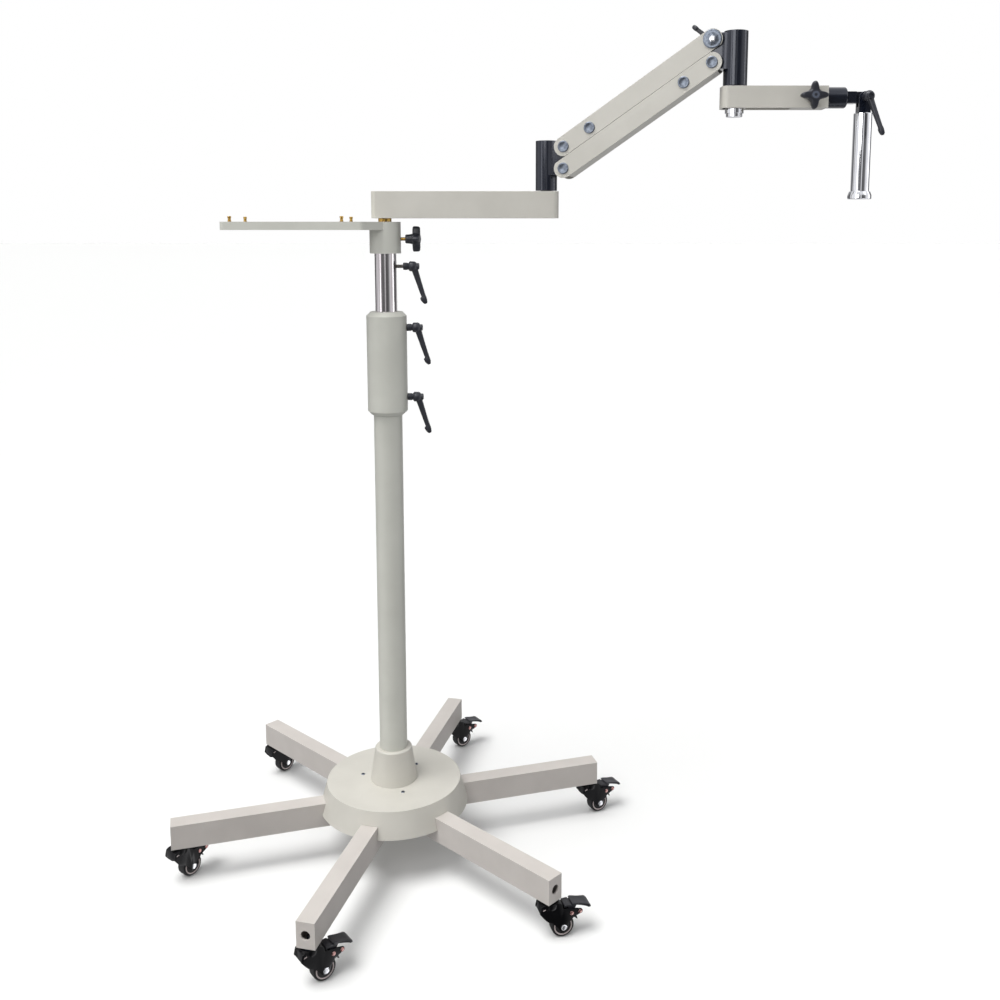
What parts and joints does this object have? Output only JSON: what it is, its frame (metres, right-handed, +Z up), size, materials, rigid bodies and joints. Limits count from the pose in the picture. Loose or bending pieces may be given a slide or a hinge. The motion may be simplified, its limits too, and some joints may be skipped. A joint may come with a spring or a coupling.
{
  "type": "stereo microscope floor stand",
  "caption": "Mobile floor stand for a stereo microscope: star base on braked castors, telescopic column, equipment tray and a spring-balanced articulated arm ending in a chrome focus post.",
  "frame": {"origin": "on the floor under the column's axis", "axes": "+Z up, +X along the lower arm away from the equipment tray, +Y to the left when looking along the lower arm"},
  "size_m": [1.557, 1.066, 1.9153],
  "materials": {
    "cream_powder_coat_steel": "fine-textured cream powder coat on steel tube and sheet",
    "cream_powder_coat_aluminium": "cream powder coat on cast and bent aluminium",
    "ground_steel_tube": "ground bright steel",
    "nylon": "natural nylon",
    "zinc_plated_steel": "blue zinc plate",
    "brass": "turned brass",
    "black_anodised_aluminium": "black anodised, satin",
    "black_glass_filled_nylon": "moulded black, fine texture",
    "spring_steel": "oiled spring wire",
    "chromed_steel": "bright chrome plate",
    "black_castor_shell": "glossy black moulded shell",
    "castor_tyre": "black polyurethane tyre on a black core"
  },
  "bodies": {
    "base": {"leg_right": "cream_powder_coat_steel", "leg_back_right": "cream_powder_coat_steel", "leg_back_left": "cream_powder_coat_steel", "leg_left": "cream_powder_coat_steel", "leg_front_left": "cream_powder_coat_steel", "leg_front_right": "cream_powder_coat_steel", "hub_block": "cream_powder_coat_steel", "base_cover": "cream_powder_coat_steel", "cover_screws": "zinc_plated_steel", "column_socket": "cream_powder_coat_steel", "column_tube": "cream_powder_coat_steel", "clamp_sleeve": "cream_powder_coat_steel", "column_bush": "nylon", "castor_stems": "zinc_plated_steel"},
    "mast": {"inner_column": "ground_steel_tube", "inner_column_foot": "nylon", "pivot_bush": "brass"},
    "tray": {"tray_plate": "cream_powder_coat_aluminium", "tray_studs": "brass"},
    "tray_clamp": {"tray_knob": "black_glass_filled_nylon"},
    "sleeve_clamp_low": {"sleeve_lever_low": "black_glass_filled_nylon"},
    "sleeve_clamp_top": {"sleeve_lever_top": "black_glass_filled_nylon"},
    "mast_clamp": {"column_lever": "black_glass_filled_nylon"},
    "arm": {"lower_arm": "cream_powder_coat_aluminium", "pivot_pin": "ground_steel_tube"},
    "elbow": {"elbow_knuckle": "black_anodised_aluminium"},
    "upper_bar": {"upper_link": "cream_powder_coat_aluminium", "upper_link_pins": "zinc_plated_steel", "balance_spring": "spring_steel"},
    "lower_bar": {"lower_link": "cream_powder_coat_aluminium", "lower_link_pins": "zinc_plated_steel"},
    "head": {"head_knuckle": "black_anodised_aluminium", "head_nut": "chromed_steel"},
    "tension_clamp": {"tension_lever": "black_glass_filled_nylon"},
    "head_arm": {"short_arm": "cream_powder_coat_aluminium"},
    "arm_clamp": {"arm_knob": "black_glass_filled_nylon"},
    "barrel_turn": {"barrel": "black_anodised_aluminium", "tilt_yoke": "black_anodised_aluminium"},
    "tilt_clamp": {"tilt_lever": "black_glass_filled_nylon"},
    "microscope_post": {"post_head": "black_anodised_aluminium", "post": "chromed_steel", "post_collar": "chromed_steel"},
    "castor_right": {"castor_fork_right": "black_castor_shell"},
    "wheel_right": {"castor_wheel_right": "castor_tyre"},
    "pedal_right": {"castor_pedal_right": "black_castor_shell"},
    "castor_back_right": {"castor_fork_back_right": "black_castor_shell"},
    "wheel_back_right": {"castor_wheel_back_right": "castor_tyre"},
    "pedal_back_right": {"castor_pedal_back_right": "black_castor_shell"},
    "castor_back_left": {"castor_fork_back_left": "black_castor_shell"},
    "wheel_back_left": {"castor_wheel_back_left": "castor_tyre"},
    "pedal_back_left": {"castor_pedal_back_left": "black_castor_shell"},
    "castor_left": {"castor_fork_left": "black_castor_shell"},
    "wheel_left": {"castor_wheel_left": "castor_tyre"},
    "pedal_left": {"castor_pedal_left": "black_castor_shell"},
    "castor_front_left": {"castor_fork_front_left": "black_castor_shell"},
    "wheel_front_left": {"castor_wheel_front_left": "castor_tyre"},
    "pedal_front_left": {"castor_pedal_front_left": "black_castor_shell"},
    "castor_front_right": {"castor_fork_front_right": "black_castor_shell"},
    "wheel_front_right": {"castor_wheel_front_right": "castor_tyre"},
    "pedal_front_right": {"castor_pedal_front_right": "black_castor_shell"}
  },
  "joints": [
    {"name": "column_slide", "type": "slide", "parent": "base", "child": "mast", "axis": [0, 0, 1], "range_m": [-0.03, 0.3]},
    {"name": "arm_lift", "type": "hinge", "parent": "elbow", "child": "upper_bar", "pos_m": [0.40451, -0.0133, 1.6595], "axis": [-0.2924, -0.9563, 0], "range_deg": [-67.4, 0], "deforming": ["balance_spring"]},
    {"name": "elbow_swivel", "type": "hinge", "parent": "arm", "child": "elbow", "pos_m": [0.361, 0, 1.5655], "axis": [0, 0, 1], "continuous": true},
    {"name": "arm_swivel", "type": "hinge", "parent": "mast", "child": "arm", "pos_m": [0, 0, 1.505], "axis": [0, 0, 1], "range_deg": [-120, 120]},
    {"name": "tray_swivel", "type": "hinge", "parent": "mast", "child": "tray", "pos_m": [0, 0, 1.427], "axis": [0, 0, 1], "range_deg": [-90, 90]},
    {"name": "head_swivel", "type": "hinge", "parent": "head", "child": "head_arm", "pos_m": [0.75115, -0.11928, 1.7755], "axis": [0, 0, 1], "range_deg": [-145, 110]},
    {"name": "barrel_roll", "type": "hinge", "parent": "head_arm", "child": "barrel_turn", "pos_m": [0.94115, -0.11928, 1.7535], "axis": [1, 0, 0], "range_deg": [-90, 90]},
    {"name": "post_tilt", "type": "hinge", "parent": "barrel_turn", "child": "microscope_post", "pos_m": [1.02165, -0.11928, 1.7535], "axis": [0, -1, 0], "range_deg": [-20, 90]},
    {"name": "lower_bar_swing", "type": "hinge", "parent": "elbow", "child": "lower_bar", "pos_m": [0.40451, -0.0133, 1.6127], "axis": [-0.2924, -0.9563, 0], "range_deg": [-67.4, 0]},
    {"name": "head_levelling", "type": "hinge", "parent": "upper_bar", "child": "head", "pos_m": [0.70764, -0.10598, 1.8709], "axis": [-0.2924, -0.9563, 0], "range_deg": [0, 67.4]},
    {"name": "tilt_lever_turn", "type": "hinge", "parent": "barrel_turn", "child": "tilt_clamp", "pos_m": [1.02165, -0.13128, 1.7535], "axis": [0, -1, 0], "range_deg": [-60, 60]},
    {"name": "tension_lever_turn", "type": "hinge", "parent": "upper_bar", "child": "tension_clamp", "pos_m": [0.70764, -0.10598, 1.8709], "axis": [0.2924, 0.9563, 0], "range_deg": [-30, 60]},
    {"name": "arm_knob_turn", "type": "hinge", "parent": "head_arm", "child": "arm_clamp", "pos_m": [0.90565, -0.14428, 1.7535], "axis": [0, -1, 0], "continuous": true},
    {"name": "tray_knob_turn", "type": "hinge", "parent": "tray", "child": "tray_clamp", "pos_m": [0.035, 0, 1.459], "axis": [1, 0, 0], "continuous": true},
    {"name": "column_lever_turn", "type": "hinge", "parent": "mast", "child": "mast_clamp", "pos_m": [0.0245, 0, 1.398], "axis": [1, 0, 0], "range_deg": [-60, 60]},
    {"name": "sleeve_lever_top_turn", "type": "hinge", "parent": "base", "child": "sleeve_clamp_top", "pos_m": [0.0455, 0, 1.26], "axis": [1, 0, 0], "range_deg": [-60, 60]},
    {"name": "sleeve_lever_low_turn", "type": "hinge", "parent": "base", "child": "sleeve_clamp_low", "pos_m": [0.0455, 0, 1.101], "axis": [1, 0, 0], "range_deg": [-60, 60]},
    {"name": "castor_swivel_right", "type": "hinge", "parent": "base", "child": "castor_right", "pos_m": [0.47843, 0.14354, 0.0817], "axis": [0, 0, 1], "continuous": true},
    {"name": "wheel_spin_right", "type": "hinge", "parent": "castor_right", "child": "wheel_right", "pos_m": [0.50227, 0.15621, 0.025], "axis": [-0.4695, 0.8829, 0], "continuous": true},
    {"name": "castor_brake_right", "type": "hinge", "parent": "castor_right", "child": "pedal_right", "pos_m": [0.51728, 0.16419, 0.0545], "axis": [-0.4695, 0.8829, 0], "range_deg": [0, 8]},
    {"name": "castor_swivel_back_right", "type": "hinge", "parent": "base", "child": "castor_back_right", "pos_m": [0.11491, 0.4861, 0.0817], "axis": [0, 0, 1], "continuous": true},
    {"name": "castor_swivel_back_left", "type": "hinge", "parent": "base", "child": "castor_back_left", "pos_m": [-0.36352, 0.34257, 0.0817], "axis": [0, 0, 1], "continuous": true},
    {"name": "castor_swivel_left", "type": "hinge", "parent": "base", "child": "castor_left", "pos_m": [-0.47843, -0.14354, 0.0817], "axis": [0, 0, 1], "continuous": true},
    {"name": "castor_swivel_front_left", "type": "hinge", "parent": "base", "child": "castor_front_left", "pos_m": [-0.11491, -0.4861, 0.0817], "axis": [0, 0, 1], "continuous": true},
    {"name": "castor_swivel_front_right", "type": "hinge", "parent": "base", "child": "castor_front_right", "pos_m": [0.36352, -0.34257, 0.0817], "axis": [0, 0, 1], "continuous": true},
    {"name": "castor_brake_back_right", "type": "hinge", "parent": "castor_back_right", "child": "pedal_back_right", "pos_m": [0.15095, 0.51134, 0.0545], "axis": [-0.5736, 0.8192, 0], "range_deg": [0, 8]},
    {"name": "castor_brake_back_left", "type": "hinge", "parent": "castor_back_left", "child": "pedal_back_left", "pos_m": [-0.33408, 0.37527, 0.0545], "axis": [-0.7431, 0.6691, 0], "range_deg": [0, 8]},
    {"name": "castor_brake_left", "type": "hinge", "parent": "castor_left", "child": "pedal_left", "pos_m": [-0.4532, -0.10749, 0.0545], "axis": [-0.8192, 0.5736, 0], "range_deg": [0, 8]},
    {"name": "castor_brake_front_left", "type": "hinge", "parent": "castor_front_left", "child": "pedal_front_left", "pos_m": [-0.07977, -0.45962, 0.0545], "axis": [-0.6018, 0.7986, 0], "range_deg": [0, 8]},
    {"name": "castor_brake_front_right", "type": "hinge", "parent": "castor_front_right", "child": "pedal_front_right", "pos_m": [0.4056, -0.3297, 0.0545], "axis": [-0.2924, 0.9563, 0], "range_deg": [0, 8]},
    {"name": "wheel_spin_back_right", "type": "hinge", "parent": "castor_back_right", "child": "wheel_back_right", "pos_m": [0.13703, 0.50159, 0.025], "axis": [-0.5736, 0.8192, 0], "continuous": true},
    {"name": "wheel_spin_back_left", "type": "hinge", "parent": "castor_back_left", "child": "wheel_back_left", "pos_m": [-0.34546, 0.36263, 0.025], "axis": [-0.7431, 0.6691, 0], "continuous": true},
    {"name": "wheel_spin_left", "type": "hinge", "parent": "castor_left", "child": "wheel_left", "pos_m": [-0.46295, -0.12142, 0.025], "axis": [-0.8192, 0.5736, 0], "continuous": true},
    {"name": "wheel_spin_front_left", "type": "hinge", "parent": "castor_front_left", "child": "wheel_front_left", "pos_m": [-0.09335, -0.46985, 0.025], "axis": [-0.6018, 0.7986, 0], "continuous": true},
    {"name": "wheel_spin_front_right", "type": "hinge", "parent": "castor_front_right", "child": "wheel_front_right", "pos_m": [0.38934, -0.33467, 0.025], "axis": [-0.2924, 0.9563, 0], "continuous": true}
  ],
  "couplings": [
    {"joint": "lower_bar_swing", "follows": "arm_lift", "ratio": 1},
    {"joint": "head_levelling", "follows": "arm_lift", "ratio": -1}
  ]
}
